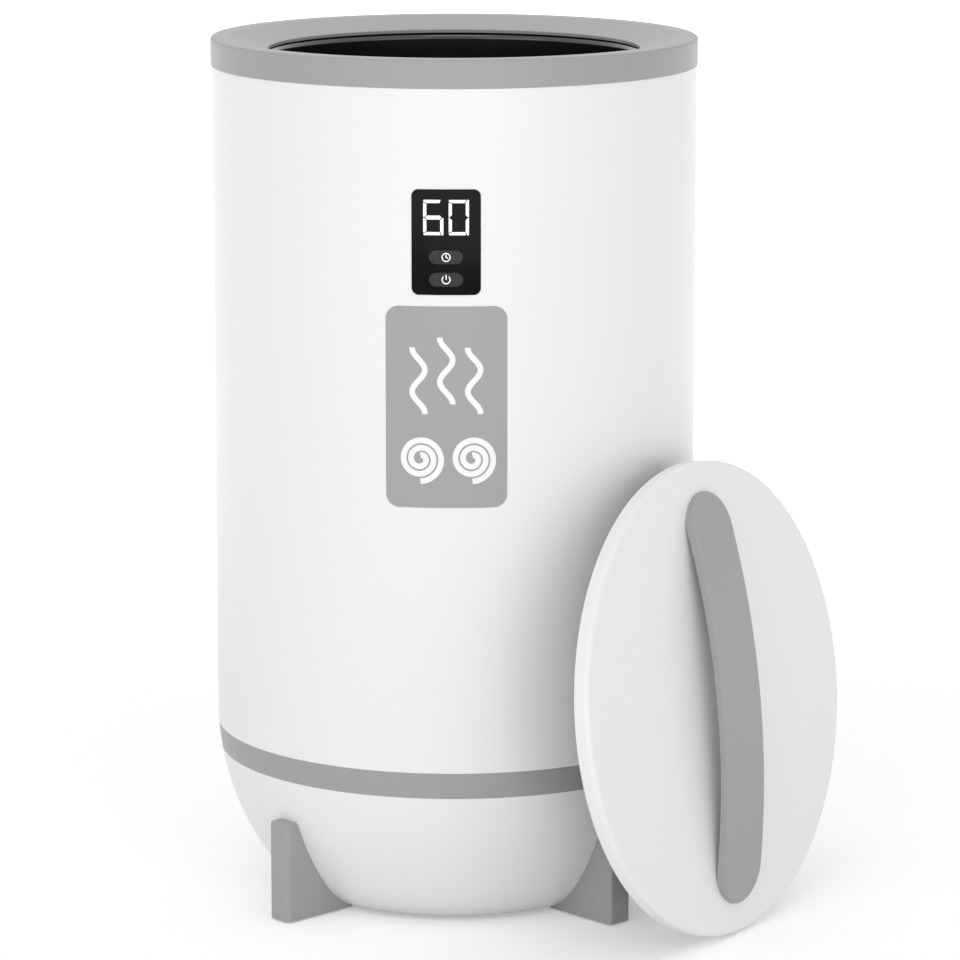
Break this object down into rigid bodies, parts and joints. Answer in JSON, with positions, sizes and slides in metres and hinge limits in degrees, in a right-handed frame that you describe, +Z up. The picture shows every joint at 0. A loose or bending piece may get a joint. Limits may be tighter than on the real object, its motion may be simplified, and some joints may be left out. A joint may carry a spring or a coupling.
{
  "type": "towel warmer bucket",
  "caption": "Round towel warming bucket on fin feet, with a sloping grey rim, black inner pot, front display with two keys, and a flat lid with an arched strap handle leaning on its side.",
  "frame": {"origin": "on the floor, on the bucket's own axis", "axes": "+Z up the bucket's axis, front with the display faces -Y, +X to the right seen from the front"},
  "size_m": [0.3918, 0.3816, 0.536],
  "materials": {
    "white_shell": "satin moulded white with a faint fine grain",
    "grey_trim": "mid grey, matte, fine grain",
    "grey_cover": "mid grey, matte",
    "label_grey": "smooth printed film",
    "pot_black": "glossy black coating inside a drawn aluminium pot",
    "display_black": "glossy black",
    "button_black": "glossy near-black",
    "lit_white": "lit white",
    "screw_steel": "plated",
    "sheet_steel": "plated sheet",
    "plate_aluminium": "cast, plain",
    "belt_silicone": "matte silicone",
    "wrap_fibre": "felted fibre",
    "board_green": "solder resist",
    "component_black": "matte black",
    "core_metal": "stacked sheets",
    "socket_white": "ivory",
    "lead_jacket": "silicone sleeve",
    "soft_rubber": "matte black",
    "frame_plastic": "matte black"
  },
  "bodies": {
    "bucket": {"rim_ring": "grey_trim", "pot_collar": "sheet_steel", "collar_screws": "screw_steel", "liner_pot": "pot_black", "heater_belt": "belt_silicone", "insulation_wrap": "wrap_fibre", "heating_plate": "plate_aluminium", "plate_nuts": "screw_steel", "thermostat": "plate_aluminium", "thermal_fuse": "component_black", "body_shell": "white_shell", "trim_band": "grey_trim", "base_bowl": "white_shell", "base_cover": "grey_cover", "cover_screws": "screw_steel", "foot_front_right": "grey_trim", "foot_back_right": "grey_trim", "foot_back_left": "grey_trim", "foot_front_left": "grey_trim", "foot_pads": "soft_rubber", "foot_screws": "screw_steel", "heat_shield": "sheet_steel", "shield_screws": "screw_steel", "power_board": "board_green", "power_board_screws": "screw_steel", "relay": "component_black", "transformer": "core_metal", "terminal_block": "socket_white", "capacitor": "component_black", "lead_socket": "socket_white", "display_cable": "lead_jacket", "heater_leads": "lead_jacket", "belt_lead": "lead_jacket", "cord_bush": "soft_rubber", "display_lens": "display_black", "lit_segments": "lit_white", "display_gasket": "soft_rubber", "display_frame": "frame_plastic", "control_board": "board_green", "control_board_screws": "screw_steel", "digit_block": "component_black", "tact_switches": "component_black", "cable_socket": "socket_white", "front_label": "label_grey"},
    "lid": {"lid_cover": "white_shell", "lid_underside": "grey_cover", "lid_insulation": "wrap_fibre", "lid_screws": "screw_steel", "lid_handle": "grey_trim", "handle_screws": "screw_steel"},
    "timer_key": {"timer_button": "button_black", "timer_symbol": "lit_white"},
    "power_key": {"power_button": "button_black", "power_symbol": "lit_white"}
  },
  "joints": [
    {"name": "lid_lift", "type": "slide", "parent": "bucket", "child": "lid", "axis": [0.3568, -0.2264, 0.9063], "range_m": [0, 0.12]},
    {"name": "timer_press", "type": "slide", "parent": "bucket", "child": "timer_key", "axis": [0, 1, 0], "range_m": [0, 0.0008], "stiffness_N_per_m": 1500},
    {"name": "power_press", "type": "slide", "parent": "bucket", "child": "power_key", "axis": [0, 1, 0], "range_m": [0, 0.0008], "stiffness_N_per_m": 1500}
  ]
}
